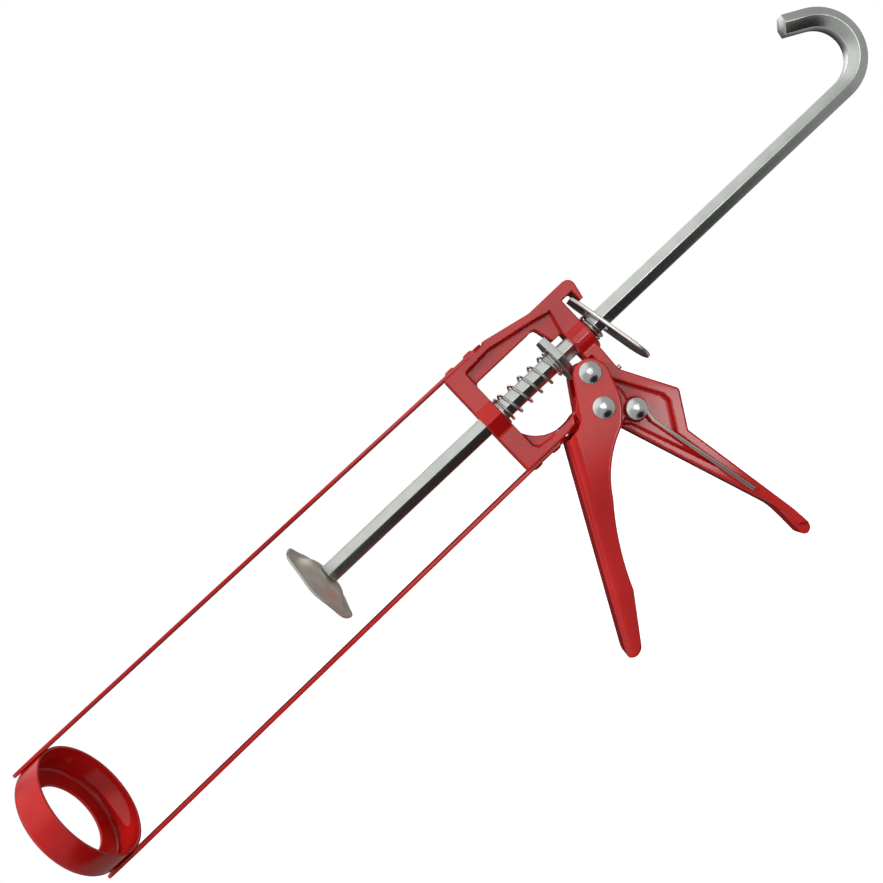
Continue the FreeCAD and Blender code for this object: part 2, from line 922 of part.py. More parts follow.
def make_drive_plate():
    """Thick hexagonal grip plate on the rod."""
    body = new_body("drive_plate")
    front = S["bay_length"] + S["plate_rear"] - S["plate_thick"]
    sketch = new_sketch(body, "plate_outline", "YZ_Plane", front)
    hexagon(sketch, S["plate_af"])
    pad(body, sketch, S["plate_thick"], both=False)
    hole = new_sketch(body, "plate_hole", "YZ_Plane", front)
    ring_of(hole, 0, 0, rod_corner() + S["plate_gap"])
    cut(body, hole, S["plate_thick"] * THROUGH)
    return body


def make_release_plate():
    """Flat tilted plate with a round lower end, built upright at its hinge."""
    body = new_body("release_plate")
    sketch = new_sketch(body, "release_outline", "YZ_Plane", -S["release_thick"] / 2)
    half = S["release_wide"] / 2
    low = S["release_long"]
    top = half * S["release_top_share"]
    shoulder = -S["release_shoulder"]
    draw(sketch, [
        (-top, 0),
        (top, 0),
        (half, shoulder),
        (half, half - low),
        (0, -low, half, -1),
        (-half, half - low, half, -1),
        (-half, shoulder),
    ])
    pad(body, sketch, S["release_thick"], both=False)
    hole = new_sketch(body, "release_hole", "YZ_Plane")
    drop = S["release_hinge_z"] / cosine(S["release_tilt"])
    ring_of(hole, 0, -drop, rod_corner() + S["release_gap"])
    cut(body, hole, S["release_thick"] * THROUGH)
    x, z = spot("release_hinge")
    move(body, x, 0, z, Y_AXIS, -S["release_tilt"])
    return body


def release_spring_end():
    """X where the tilted plate leaves the spring's top its last bit of room."""
    lean = sine(S["release_tilt"]) / cosine(S["release_tilt"])
    reach = rod_corner() + S["spring_gap"] + S["release_wire"]
    middle = spot("release_hinge")[0] + (S["release_hinge_z"] - reach) * lean
    return middle - S["release_thick"] / cosine(S["release_tilt"]) / 2 - S["spring_end_gap"]


def make_coil(label, start, end, turns, wire):
    """Round-wire compression spring round the rod, from start to end along +X."""
    mean = rod_corner() + S["spring_gap"] + wire / 2
    rise = end - start - wire
    helix = primitive("Part::Helix", label + "_helix", Radius=mean, Height=rise, Pitch=rise / turns)
    # one edge to a turn keeps the swept faces short enough to mesh truly
    helix.SegmentLength = 1
    section = primitive("Part::Circle", label + "_section", Radius=wire / 2)
    move(section, mean, 0, 0, X_AXIS, 90)
    DOC.recompute()
    coil = DOC.addObject("Part::Sweep", label)
    coil.Label = label
    coil.Sections = [section]
    coil.Spine = (helix, ["Edge%d" % (index + 1) for index in range(len(helix.Shape.Edges))])
    coil.Solid = True
    coil.Frenet = True
    move(coil, start + wire / 2, 0, 0, Y_AXIS, 90)
    return coil


# ---------------------------------------------------------------- trigger


def web_top():
    """Top of the channel's front web, which clears the lower rail's tail."""
    drop = S["seat_half"] + S["rail_thick"] + S["rail_clear"]
    return S["bay_length"] + S["web_top_u"], -drop


def web_along():
    """Thickness of the leaning front web, measured along X."""
    top_x, top_z = web_top()
    toe_x, toe_z = spot("web_toe")
    run = top_x - toe_x
    fall = top_z - toe_z
    return S["sheet_thick"] * root(run * run + fall * fall) / fall


def make_trigger():
    """Pressed channel, closed in front, with two cheeks over the casting."""
    body = new_body("trigger")
    outer = new_sketch(body, "trigger_side", "XZ_Plane")
    draw(outer, trigger_outline())
    pad(body, outer, S["cheek_half"] * 2)
    toe_z = S["web_toe_z"]
    round_edges(body, "front_bends", S["bend_r"], lambda edge: runs_up_from(edge, toe_z))
    inner = new_sketch(body, "trigger_inside", "XZ_Plane")
    draw(inner, trigger_hollow())
    inside = S["cheek_half"] - S["sheet_thick"]
    cut(body, inner, inside * 2)
    round_edges(body, "inner_bends", S["bend_r"] - S["sheet_thick"],
                lambda edge: runs_up_from(edge, toe_z) and at_side(edge, inside))
    holes = new_sketch(body, "trigger_holes", "XZ_Plane")
    ring_of(holes, *spot("pivot"), S["pivot_r"] + S["pin_fit"])
    ring_of(holes, *spot("drive_pin"), S["drive_pin_r"])
    cut(body, holes, S["cheek_half"] * THROUGH)
    return body


def trigger_outline():
    """Side view of the channel, from the top of its front down and round."""
    return [
        web_top(),
        spot("web_toe"),
        rounded("toe_end", "toe_r", 1),
        rounded("toe_back", "toe_back_r", 1),
        spot("trigger_thin"),
        rounded("trigger_palm", "palm_r", -1),
        rounded("trigger_waist", "waist_r", -1),
        rounded("cheek_back", "cheek_back_r", 1),
        rounded("cheek_top", "cheek_top_r", 1),
        rounded("cheek_left", "cheek_left_r", 1),
        spot("cheek_front"),
        (web_top()[0] + S["cheek_low_run"], web_top()[1] + S["cheek_low_rise"], S["cheek_low_r"], -1),
    ]


def trigger_hollow():
    """What is cut from between the cheeks: all but the front web and the toe."""
    top_x = web_top()[0] + web_along()
    toe_x, toe_z = spot("web_toe")
    return [
        (top_x, web_top()[1]),
        (toe_x + web_along(), toe_z),
        spot("toe_floor"),
        spot("hollow_foot"),
        spot("hollow_back"),
        spot("hollow_top"),
        (top_x, S["hollow_top_z"]),
    ]


def runs_up_from(edge, low):
    """Whether an edge is a long one up the channel's front, in one plane along Y."""
    box = edge.BoundBox
    starts = abs(box.ZMin - low.value) < 1e-3
    return starts and box.YLength < 1e-3 and box.ZLength > box.XLength > box.YLength + 1


def at_side(edge, half):
    """Whether an edge lies at the given distance from the mid-plane."""
    return abs(abs(edge.BoundBox.YMin) - half.value) < 1e-3


def make_rivet(label, place, shank, head, near, far):
    """Domed rivet along Y; near and far are the head seats from the mid-plane."""
    body = new_body(label)
    sketch = new_sketch(body, label + "_profile", "XY_Plane")
    rim = S["head_edge"]
    dome = S["head_tall"] - rim
    curve = (head * head + dome * dome) / (dome * 2)
    draw(sketch, [
        (0, -near - S["head_tall"]),
        (head, -near - rim, curve, 1),
        (head, -near),
        (shank, -near),
        (shank, far),
        (head, far),
        (head, far + rim),
        (0, far + S["head_tall"], curve, 1),
    ])
    revolve(body, sketch, "V_Axis")
    move(body, place[0], 0, place[1])
    return body


def piercer_plane():
    """Distance of the piercing wire's centre from the mid-plane."""
    return S["rib_half"] + S["side_gap"] + S["piercer_wire_r"]


def make_piercer():
    """Seal-piercing wire: an eye round its rivet, a kink and a long leg."""
    body = new_body("seal_piercer")
    wire = S["piercer_wire_r"]
    mean = S["piercer_pin_r"] + S["pin_fit"] + wire
    x, z = spot("piercer")
    eye = body.newObject("PartDesign::AdditiveTorus", "piercer_eye")
    bind(eye, "Radius1", mean)
    bind(eye, "Radius2", wire)
    move(eye, x, -piercer_plane(), z, X_AXIS, 90)
    DOC.recompute()
    spine = new_sketch(body, "piercer_spine", "XZ_Plane", piercer_plane())
    draw(spine, [
        (x + mean, z),
        (x + mean, z - S["piercer_drop"]),
        spot("piercer_kink"),
        spot("piercer_end"),
    ], closed=False)
    section = new_sketch(body, "piercer_section", "XY_Plane", z)
    ring_of(section, x + mean, -piercer_plane(), wire)
    pipe = body.newObject("PartDesign::AdditivePipe", "piercer_leg")
    pipe.Profile = section
    pipe.Spine = (spine, ["Edge1", "Edge2", "Edge3"])
    pipe.Transition = "Round corner"
    DOC.recompute()
    return body


# ---------------------------------------------------------------- assembly


def make_all():
    """Build every node and return them."""
    nodes = [
        make_front_ring(),
        make_rail("upper_rail", 1),
        make_rail("lower_rail", -1),
        make_studs("upper_rail_studs", 1),
        make_studs("lower_rail_studs", -1),
        make_casting(),
        make_frame_pin(),
        make_push_rod(),
        make_plunger(),
        make_drive_plate(),
        make_release_plate(),
        make_trigger(),
        make_piercer(),
    ]
    nodes += make_washers()
    nodes += make_springs()
    nodes += make_rivets()
    nodes += make_sleeves()
    return nodes


def make_washers():
    """The washers on the plunger's spigot and under the drive spring."""
    plunger_washer = make_tube(
        "plunger_washer", S["spigot_r"] + S["plunger_washer_wall"], S["spigot_r"], S["washer_thick"])
    move(plunger_washer, head_rear(), 0, 0, Y_AXIS, 90)
    bore = rod_corner() + S["spring_gap"]
    spring_washer = make_tube("spring_washer", bore + S["spring_wire"], bore, S["washer_thick"])
    move(spring_washer, S["bay_length"] + S["wall_thick"], 0, 0, Y_AXIS, 90)
    return [plunger_washer, spring_washer]


def make_springs():
    """The drive spring in the window and the small one behind the casting."""
    face = S["bay_length"]
    gap = S["spring_end_gap"]
    start = face + S["wall_thick"] + S["washer_thick"] + gap
    end = face + S["plate_rear"] - S["plate_thick"] - gap
    return [
        make_coil("drive_spring", start, end, S["drive_turns"], S["spring_wire"]),
        make_coil(
            "release_spring", face + S["rear_face"] + gap, release_spring_end(),
            S["release_turns"], S["release_wire"]),
    ]


def make_rivets():
    """The three domed rivets, and the washer under the piercer's head."""
    cheek = S["cheek_half"]
    free = cheek + S["side_gap"]
    under_washer = piercer_plane() + S["piercer_wire_r"] + S["side_gap"]
    head_seat = under_washer + S["washer_thick"]
    washer = make_tube("piercer_washer", S["piercer_head_r"], S["piercer_pin_r"], S["washer_thick"])
    x, z = spot("piercer")
    move(washer, x, -under_washer, z, X_AXIS, 90)
    return [
        make_rivet("drive_pin_rivet", spot("drive_pin"), S["drive_pin_r"], S["head_r"], cheek, cheek),
        make_rivet("trigger_pivot_rivet", spot("pivot"), S["pivot_r"], S["head_r"], free, free),
        make_rivet("piercer_rivet", spot("piercer"), S["piercer_pin_r"], S["piercer_head_r"],
                   head_seat, S["rib_half"]),
        washer,
    ]


def make_sleeves():
    """The roller on the drive pin and the bush round the pivot rivet."""
    sleeves = []
    for label, name, outer, inner in (
            ("drive_roller", "drive_pin", S["roller_r"], S["drive_pin_r"] + S["pin_fit"]),
            ("pivot_bush", "pivot", S["pivot_r"] + S["bush_wall"], S["pivot_r"])):
        sleeve = make_tube(label, outer, inner, between_cheeks())
        x, z = spot(name)
        move(sleeve, x, between_cheeks() / 2, z, X_AXIS, 90)
        sleeves.append(sleeve)
    return sleeves


def check_document():
    """Stop if any object failed to build."""
    for item in DOC.Objects:
        bad = [word for word in item.State if word in ("Invalid", "Error")]
        if bad:
            raise RuntimeError("%s is %s" % (item.Label, ", ".join(bad)))


def write_parts(nodes):
    """Check each node's shape and write it as a STEP file."""
    os.makedirs("parts", exist_ok=True)
    for node in nodes:
        if node.Shape.isNull() or not node.Shape.isValid() or not node.Shape.Solids:
            raise RuntimeError("%s has no sound shape" % node.Label)
        print("%-22s %d solid(s) %9.1f mm3" % (node.Label, len(node.Shape.Solids), node.Shape.Volume))
    for node in nodes:
        node.Shape.exportStep("parts/%s.step" % node.Label)


NODES = make_all()
DOC.recompute()
check_document()
write_parts(NODES)
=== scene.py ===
"""Looks of a skeleton caulking gun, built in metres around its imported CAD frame.

+X runs along the push rod from the nozzle end to the hook, +Z is up and the grip hangs down.
"""

import json
import logging
import math
from collections.abc import Callable, Sequence
from dataclasses import dataclass, field
from enum import Enum
from functools import cached_property
from typing import Any

import bmesh
import bpy
from mathutils import Matrix, Vector, noise


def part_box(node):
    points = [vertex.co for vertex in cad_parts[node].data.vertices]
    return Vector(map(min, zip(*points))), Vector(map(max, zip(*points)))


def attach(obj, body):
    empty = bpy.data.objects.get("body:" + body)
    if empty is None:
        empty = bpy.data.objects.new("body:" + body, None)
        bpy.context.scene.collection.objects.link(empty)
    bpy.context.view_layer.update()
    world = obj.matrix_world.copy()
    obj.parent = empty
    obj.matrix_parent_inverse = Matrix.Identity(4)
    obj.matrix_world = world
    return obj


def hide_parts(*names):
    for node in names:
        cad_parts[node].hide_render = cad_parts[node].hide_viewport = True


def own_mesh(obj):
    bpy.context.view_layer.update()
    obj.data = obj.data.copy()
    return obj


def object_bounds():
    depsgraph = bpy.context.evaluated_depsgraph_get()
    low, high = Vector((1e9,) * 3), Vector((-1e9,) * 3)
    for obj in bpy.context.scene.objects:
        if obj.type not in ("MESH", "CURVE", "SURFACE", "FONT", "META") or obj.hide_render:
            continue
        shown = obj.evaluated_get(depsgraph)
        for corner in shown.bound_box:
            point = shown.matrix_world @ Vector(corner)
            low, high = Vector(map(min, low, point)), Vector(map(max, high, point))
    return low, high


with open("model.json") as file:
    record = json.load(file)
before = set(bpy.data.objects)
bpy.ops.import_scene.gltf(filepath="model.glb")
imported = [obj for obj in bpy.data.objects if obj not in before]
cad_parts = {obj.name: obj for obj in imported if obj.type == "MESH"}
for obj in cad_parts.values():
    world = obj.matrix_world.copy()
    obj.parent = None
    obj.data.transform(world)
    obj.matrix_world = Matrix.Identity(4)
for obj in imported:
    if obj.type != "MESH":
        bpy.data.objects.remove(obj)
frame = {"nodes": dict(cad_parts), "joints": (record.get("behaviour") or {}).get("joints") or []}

log = logging.getLogger("caulking_gun")

CAD_BOX: tuple[Vector, Vector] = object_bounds()
MM = 0.001
SPLIT_GAP = 0.002 * MM
BEVEL_STEPS = 3
BEVEL_ANGLE = 35.0
X_AXIS = Vector((1, 0, 0))
Z_AXIS = Vector((0, 0, 1))

# A colour mix's sockets by number, because its numbers and colours share their names.
MIX_FACTOR, MIX_LOW, MIX_HIGH, MIX_RESULT = 0, 6, 7, 2

Colour = tuple[float, float, float, float]
Spot = tuple[float, float]
Path = list[Vector]


# ---------------------------------------------------------------- shader bench


@dataclass
class Flow:
    """One output socket, on which Python's operators add Math nodes.

    Args:
        bench: the bench that owns the node tree.
        socket: the output socket that this wraps.
    """

    bench: "Bench"
    socket: bpy.types.NodeSocket

    def maths(self, operation: str, first: "Flow | float", second: "Flow | float") -> "Flow":
        """Add one Math node.

        Args:
            operation: the Math node's operation.
            first: its first value.
            second: its second value.

        Returns:
            The node's result.
        """
        return self.bench.flow("ShaderNodeMath", {"operation": operation}, {0: first, 1: second})

    def __add__(self, other: "Flow | float") -> "Flow":
        """Sum."""
        return self.maths("ADD", self, other)

    def __radd__(self, other: float) -> "Flow":
        """Sum with a number on the left."""
        return self.maths("ADD", other, self)

    def __mul__(self, other: "Flow | float") -> "Flow":
        """Product."""
        return self.maths("MULTIPLY", self, other)

    def __rmul__(self, other: float) -> "Flow":
        """Product with a number on the left."""
        return self.maths("MULTIPLY", other, self)


class Bench:
    """A material's node tree, and the one way to put nodes in it."""

    def __init__(self, name: str, tree: bpy.types.NodeTree | None = None) -> None:
        """Start an empty material, or clear a tree that is there already.

        Args:
            name: the material's name.
            tree: the tree to use instead of a new material's.
        """
        if tree is None:
            self.material = bpy.data.materials.new(name)
            self.material.use_nodes = True
            tree = self.material.node_tree
        self.tree = tree
        self.tree.nodes.clear()

    def node(self, kind: str, settings: dict[str, Any], sockets: dict[Any, Any]) -> bpy.types.Node:
        """Make one node.

        Args:
            kind: the node's type.
            settings: its properties, set first; "stops" holds a colour ramp's stops.
            sockets: values or flows for its inputs, by name or number.

        Returns:
            The new node.
        """
        node = self.tree.nodes.new(kind)
        for key, value in settings.items():
            if key == "stops":
                self.set_stops(node, value)
            else:
                setattr(node, key, value)
        for key, value in sockets.items():
            if isinstance(value, Flow):
                self.tree.links.new(value.socket, node.inputs[key])
            else:
                node.inputs[key].default_value = value
        return node

    def set_stops(self, node: bpy.types.Node, stops: Sequence[tuple[float, Colour]]) -> None:
        """Fill a colour ramp.

        Args:
            node: the ramp's node.
            stops: places from 0 to 1 with their colours, in order.
        """
        elements = node.color_ramp.elements
        while len(elements) < len(stops):
            elements.new(0.5)
        for element, (place, colour) in zip(elements, stops):
            element.position = place
            element.color = colour

    def flow(self, kind: str, settings: dict[str, Any], sockets: dict[Any, Any], output: Any = 0) -> Flow:
        """Make one node and wrap one of its outputs.

        Args:
            kind: the node's type.
            settings: its properties.
            sockets: its inputs.
            output: the output's name or number.

        Returns:
            The wrapped output.
        """
        return Flow(self, self.node(kind, settings, sockets).outputs[output])

    @cached_property
    def place(self) -> Flow:
        """The point in the gun's own frame, in metres."""
        return self.flow("ShaderNodeTexCoord", {}, {}, "Object")

    def stretched(self, scale: Sequence[float]) -> Flow:
        """The point scaled by its own amount along each axis."""
        factors = {0: self.place, 1: tuple(scale)}
        return self.flow("ShaderNodeVectorMath", {"operation": "MULTIPLY"}, factors)

    def grain(self, scale: float, detail: float = 3.0, stretch: Sequence[float] | None = None) -> Flow:
        """Cloudy noise from 0 to 1.

        Args:
            scale: clouds to the metre.
            detail: how many finer layers it has.
            stretch: a factor along each axis, for streaks.

        Returns:
            The noise.
        """
        where = self.stretched(stretch) if stretch else self.place
        sockets = {"Vector": where, "Scale": scale, "Detail": detail}
        return self.flow("ShaderNodeTexNoise", {}, sockets, "Fac")

    def ramp(self, factor: Flow, *stops: tuple[float, float]) -> Flow:
        """A grey ramp.

        Args:
            factor: what is looked up.
            stops: pairs of place and level, in order.

        Returns:
            The level.
        """
        grey = [(place, (level, level, level, 1.0)) for place, level in stops]
        return self.flow("ShaderNodeValToRGB", {"stops": grey}, {"Fac": factor}, "Color")

    def blend(self, factor: Flow, low: "Flow | Colour", high: "Flow | Colour") -> Flow:
        """A mix of two colours.

        Args:
            factor: how much of the second shows.
            low: the first colour.
            high: the second colour.

        Returns:
            The mixed colour.
        """
        sockets = {MIX_FACTOR: factor, MIX_LOW: low, MIX_HIGH: high}
        return self.flow("ShaderNodeMix", {"data_type": "RGBA"}, sockets, MIX_RESULT)

    @cached_property
    def edges(self) -> Flow:
        """How sharply the surface bulges: 0.5 on flats, more on outer edges."""
        return self.flow("ShaderNodeNewGeometry", {}, {}, "Pointiness")

    def bump(self, height: Flow, depth: float) -> Flow:
        """A normal bent by a height map.

        Args:
            height: the map, from 0 to 1.
            depth: what 1 stands for, in metres.

        Returns:
            The bent normal.
        """
        return self.flow("ShaderNodeBump", {}, {"Height": height, "Distance": depth, "Strength": 1.0})

    def finish(self, sockets: dict[str, Any]) -> bpy.types.Material:
        """Close the tree with one surface shader.

        Args:
            sockets: the shader's inputs.

        Returns:
            The finished material.
        """
        shader = self.flow("ShaderNodeBsdfPrincipled", {}, sockets)
        self.node("ShaderNodeOutputMaterial", {}, {"Surface": shader})
        return self.material


# ---------------------------------------------------------------- finishes


class Grain(Enum):
    """Which way a metal's working marks run."""

    ALONG_ROD = (70.0, 2600.0, 2600.0)
    ACROSS = (2600.0, 2600.0, 90.0)
    EVEN = (900.0, 900.0, 900.0)


@dataclass(frozen=True)
class Enamel:
    """Glossy stoved enamel over steel or cast metal.

    Args:
        name: the material's name.
        slot: the record's slot; not used.
        texture: height of the surface's unevenness, in metres.
        bright: the colour of a full coat.
        deep: the colour where the coat is thick.
        worn: the colour on edges, where it is thin.
        dust: the colour of the specks caught in it.
        crease: the colour of the painted shade in inner corners.
        floor: its lowest roughness.
        haze: how much rougher it gets.
    """

    name: str = "red_enamel"
    slot: str = "red_paint"
    texture: float = 0.12 * MM
    bright: Colour = (0.66, 0.014, 0.012, 1.0)
    deep: Colour = (0.50, 0.008, 0.009, 1.0)
    worn: Colour = (0.70, 0.035, 0.028, 1.0)
    dust: Colour = (0.30, 0.012, 0.012, 1.0)
    crease: Colour = (0.10, 0.004, 0.005, 1.0)
    floor: float = 0.16
    haze: float = 0.12

    def make(self) -> bpy.types.Material:
        """Build the material: clouded colour, thin edges, painted shade in inner corners and a clear wet
        coat.

        Returns:
            The material.
        """
        bench = Bench(self.name)
        thick = bench.ramp(bench.grain(38.0, 4.0), (0.35, 0.0), (0.68, 1.0))
        specks = bench.ramp(bench.grain(2400.0, 2.0), (0.66, 0.0), (0.74, 1.0))
        thin = bench.ramp(bench.edges, (0.52, 0.0), (0.60, 1.0))
        # painted shade: inner corners, where pointiness falls below flat, are darkened towards the crease
        # colour
        corners = bench.ramp(bench.edges, (0.40, 1.0), (0.485, 0.0))
        colour = bench.blend(thick, self.deep, self.bright)
        colour = bench.blend(thin * 0.45, colour, self.worn)
        colour = bench.blend(specks * 0.25, colour, self.dust)
        # painted shade laid into the inner corners
        colour = bench.blend(corners * 0.7, colour, self.crease)
        peel = bench.grain(620.0, 2.0)
        sag = bench.grain(120.0, 1.0)
        return bench.finish({
            "Base Color": colour,
            "Roughness": self.floor + bench.grain(260.0, 3.0) * self.haze,
            "IOR": 1.5,
            "Specular IOR Level": 0.0,
            "Coat Weight": 1.0,
            "Coat Roughness": 0.07,
            "Coat IOR": 1.5,
            "Normal": bench.bump(sag * 0.7 + peel * 0.3, self.texture),
        })


@dataclass(frozen=True)
class Plate:
    """Bare or plated metal with its working marks.

    Args:
        name: the material's name.
        slot: the record's slot; not used.
        light: its colour where it is clean.
        dark: its colour where it is stained.
        grain: which way the marks run.
        gloss: lowest roughness.
        spread: how much rougher it gets.
        marks: depth of the marks, in metres.
        stain: share of the surface that is stained.
        blur: half-width of a stain's soft edge.
    """

    name: str
    slot: str
    light: Colour
    dark: Colour
    grain: Grain = Grain.EVEN
    gloss: float = 0.2
    spread: float = 0.18
    marks: float = 0.048 * MM
    stain: float = 0.5
    blur: float = 0.16

    def make(self) -> bpy.types.Material:
        """Build the material: streaked metal with stained patches and small pits.

        Returns:
            The material.
        """
        bench = Bench(self.name)
        streaks = bench.grain(1.0, 3.0, self.grain.value)
        patches = bench.grain(150.0, 5.0)
        pits = bench.ramp(bench.grain(1900.0, 3.0), (0.64, 0.0), (0.72, 1.0))
        middle = 0.62 - 0.25 * self.stain
        stained = bench.ramp(patches, (middle - self.blur, 0.0), (middle + self.blur, 1.0)) * self.stain
        colour = bench.blend(stained, self.light, self.dark)
        colour = bench.blend(pits * 0.35, colour, self.dark)
        colour = bench.blend(bench.ramp(streaks, (0.3, 0.0), (0.7, 1.0)) * 0.25, colour, self.light)
        rough = self.gloss + self.spread * (streaks * 0.6 + patches * 0.4)
        return bench.finish({
            "Base Color": colour,
            "Metallic": 1.0,
            "Roughness": rough,
            "Normal": bench.bump(streaks * 0.8 + pits * 0.2, self.marks),
        })


@dataclass(frozen=True)
class Backdrop:
    """Plain pale studio paper.

    Args:
        name: the material's name.
        sheet: its colour.
        fibres: the colour of its fibres.
        glow: how much it is lit from behind.
    """

    name: str = "studio_paper"
    sheet: Colour = (0.92, 0.92, 0.915, 1.0)
    fibres: Colour = (0.85, 0.85, 0.85, 1.0)
    glow: float = 0.8

    def make(self) -> bpy.types.Material:
        """Build the material.

        Returns:
            The material.
        """
        bench = Bench(self.name)
        shade = bench.blend(bench.grain(900.0, 4.0) * 0.03, self.sheet, self.fibres)
        return bench.finish({
            "Base Color": shade,
            "Roughness": 0.95,
            "Specular IOR Level": 0.0,
            "Emission Color": shade,
            "Emission Strength": self.glow,
        })


RED_PAINT = Enamel()
RED_CASTING = Enamel("red_cast_enamel", "red_casting", texture=0.21 * MM)
ZINC_ROD = Plate(
    "zinc_drawn_bar", "plated_rod", light=(0.80, 0.83, 0.80, 1), dark=(0.62, 0.66, 0.63, 1),
    grain=Grain.ALONG_ROD, gloss=0.16, spread=0.16)
ZINC_PLATE = Plate(
    "zinc_plate", "plated_steel", light=(0.76, 0.77, 0.75, 1), dark=(0.55, 0.56, 0.53, 1),
    gloss=0.22, spread=0.2)
DULL_STEEL = Plate(
    "dull_pressed_steel", "plunger_steel", light=(0.82, 0.81, 0.73, 1), dark=(0.60, 0.59, 0.52, 1),
    gloss=0.40, spread=0.20, marks=0.08 * MM)
SPRING_WIRE = Plate(
    "plated_spring_wire", "spring_steel", light=(0.74, 0.76, 0.74, 1), dark=(0.50, 0.52, 0.50, 1),
    gloss=0.16, spread=0.14)
RIVET_STEEL = Plate(
    "bright_rivet_steel", "rivet_steel", light=(0.92, 0.94, 0.94, 1), dark=(0.62, 0.65, 0.65, 1),
    grain=Grain.ACROSS, gloss=0.09, spread=0.10, marks=0.08 * MM, stain=0.35)
TAN_WIRE = Plate(
    "tan_steel_wire", "piercer_wire", light=(1.0, 0.93, 0.85, 1), dark=(0.70, 0.58, 0.48, 1),
    grain=Grain.ALONG_ROD, gloss=0.30, spread=0.2)

STOCK: dict[str, bpy.types.Material] = {}


def stock(finish: Enamel | Plate | Backdrop) -> bpy.types.Material:
    """The material of a finish, made once.

    Args:
        finish: the finish.

    Returns:
        Its material.
    """
    if finish.name not in STOCK:
        STOCK[finish.name] = finish.make()
    return STOCK[finish.name]


# ---------------------------------------------------------------- workshop


class Piece:
    """A visible piece on its way from a mesh to a finished part."""

    def __init__(self, name: str, mesh: bpy.types.Mesh) -> None:
        """Put a mesh in the scene.

        Args:
            name: the piece's name.
            mesh: its mesh, in the gun's frame.
        """
        self.thing = bpy.data.objects.new(name, mesh)
        bpy.context.scene.collection.objects.link(self.thing)

    def shape(self, kind: str, **settings: Any) -> "Piece":
        """Add one modifier.

        Args:
            kind: the modifier's type.
            settings: its properties.

        Returns:
            The same piece.
        """
        modifier = self.thing.modifiers.new(kind.lower(), kind)
        for key, value in settings.items():
            setattr(modifier, key, value)
        return self

    def settle(self) -> "Piece":
        """Turn the modifiers into the mesh itself.

        Returns:
            The same piece.
        """
        graph = bpy.context.evaluated_depsgraph_get()
        mesh = bpy.data.meshes.new_from_object(self.thing.evaluated_get(graph))
        mesh.name = self.thing.name
        self.thing.modifiers.clear()
        self.thing.data = mesh
        return self

    def smooth(self, angle: float = 180.0) -> "Piece":
        """Shade smoothly across the flatter edges.

        Args:
            angle: edges sharper than this many degrees stay sharp.

        Returns:
            The same piece.
        """
        self.thing.data.shade_smooth()
        if angle < 180.0:
            self.thing.data.set_sharp_from_angle(angle=math.radians(angle))
        return self

    def fit(self, finish: Enamel | Plate, body: str, *nodes: str) -> bpy.types.Object:
        """Dress the piece and put it on its body in place of CAD nodes.

        Args:
            finish: its finish.
            body: the body that it rides on.
            nodes: the CAD nodes that it stands for.

        Returns:
            The finished object.
        """
        self.thing.data.materials.clear()
        self.thing.data.materials.append(stock(finish))
        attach(self.thing, body)
        if nodes:
            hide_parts(*nodes)
        log.info("%s: %d faces, on %s", self.thing.name, len(self.thing.data.polygons), body)
        return self.thing


def welded_copy(node: str) -> bpy.types.Mesh:
    """A copy of a CAD node's mesh with its split corners joined.

    Args:
        node: the CAD node.

    Returns:
        The copy.
    """
    bm = bmesh.new()
    bm.from_mesh(frame["nodes"][node].data)
    bmesh.ops.remove_doubles(bm, verts=bm.verts, dist=SPLIT_GAP)
    mesh = bpy.data.meshes.new(node + "_copy")
    bm.to_mesh(mesh)
    bm.free()
    return mesh


def softened(name: str, node: str, cell: float, passes: int, keep: float = 1.0) -> Piece:
    """A CAD node with every edge and inner corner rounded, as paint and casting leave them.

    Args:
        name: the new piece's name.
        node: the CAD node that it follows.
        cell: the remesh's cell, in metres.
        passes: how many times the surface is relaxed.
        keep: share of the faces that is left.

    Returns:
        The new piece.
    """
    piece = Piece(name, welded_copy(node))
    piece.shape("REMESH", mode="VOXEL", voxel_size=cell).shape("SMOOTH", factor=0.5, iterations=passes)
    if keep < 1.0:
        piece.shape("DECIMATE", ratio=keep)
    return piece.settle().smooth()


def eased(name: str, node: str, width: float, flat: float = 0.2) -> Piece:
    """A CAD node with its sharp edges broken by a small round.

    Args:
        name: the new piece's name.
        node: the CAD node that it follows.
        width: the round's width, in metres.
        flat: faces within this many degrees are joined first.

    Returns:
        The new piece.
    """
    mesh = welded_copy(node)
    bm = bmesh.new()
    bm.from_mesh(mesh)
    bmesh.ops.dissolve_limit(bm, angle_limit=math.radians(flat), verts=bm.verts, edges=bm.edges)
    bm.to_mesh(mesh)
    bm.free()
    piece = Piece(name, mesh)
    piece.shape("BEVEL", width=width, segments=BEVEL_STEPS, limit_method="ANGLE",
                angle_limit=math.radians(BEVEL_ANGLE), harden_normals=False)
    return piece.settle().smooth(40.0)


def skin(name: str, rings: Sequence[Path], closed: bool = False) -> bpy.types.Mesh:
    """A mesh skinned over rings of points, with capped ends.

    Args:
        name: the mesh's name.
        rings: loops of equally many points.
        closed: whether the last ring joins the first.

    Returns:
        The mesh.
    """
    bm = bmesh.new()
    loops = [[bm.verts.new(point) for point in ring] for ring in rings]
    count = len(loops[0])
    pairs = list(zip(loops, loops[1:]))
    if closed:
        pairs.append((loops[-1], loops[0]))
    for near, far in pairs:
        for index in range(count):
            after = (index + 1) % count
            bm.faces.new((near[index], near[after], far[after], far[index]))
    if not closed:
        bm.faces.new(list(reversed(loops[0])))
        bm.faces.new(loops[-1])
    bmesh.ops.recalc_face_normals(bm, faces=bm.faces)
    mesh = bpy.data.meshes.new(name)
    bm.to_mesh(mesh)
    bm.free()
    return mesh


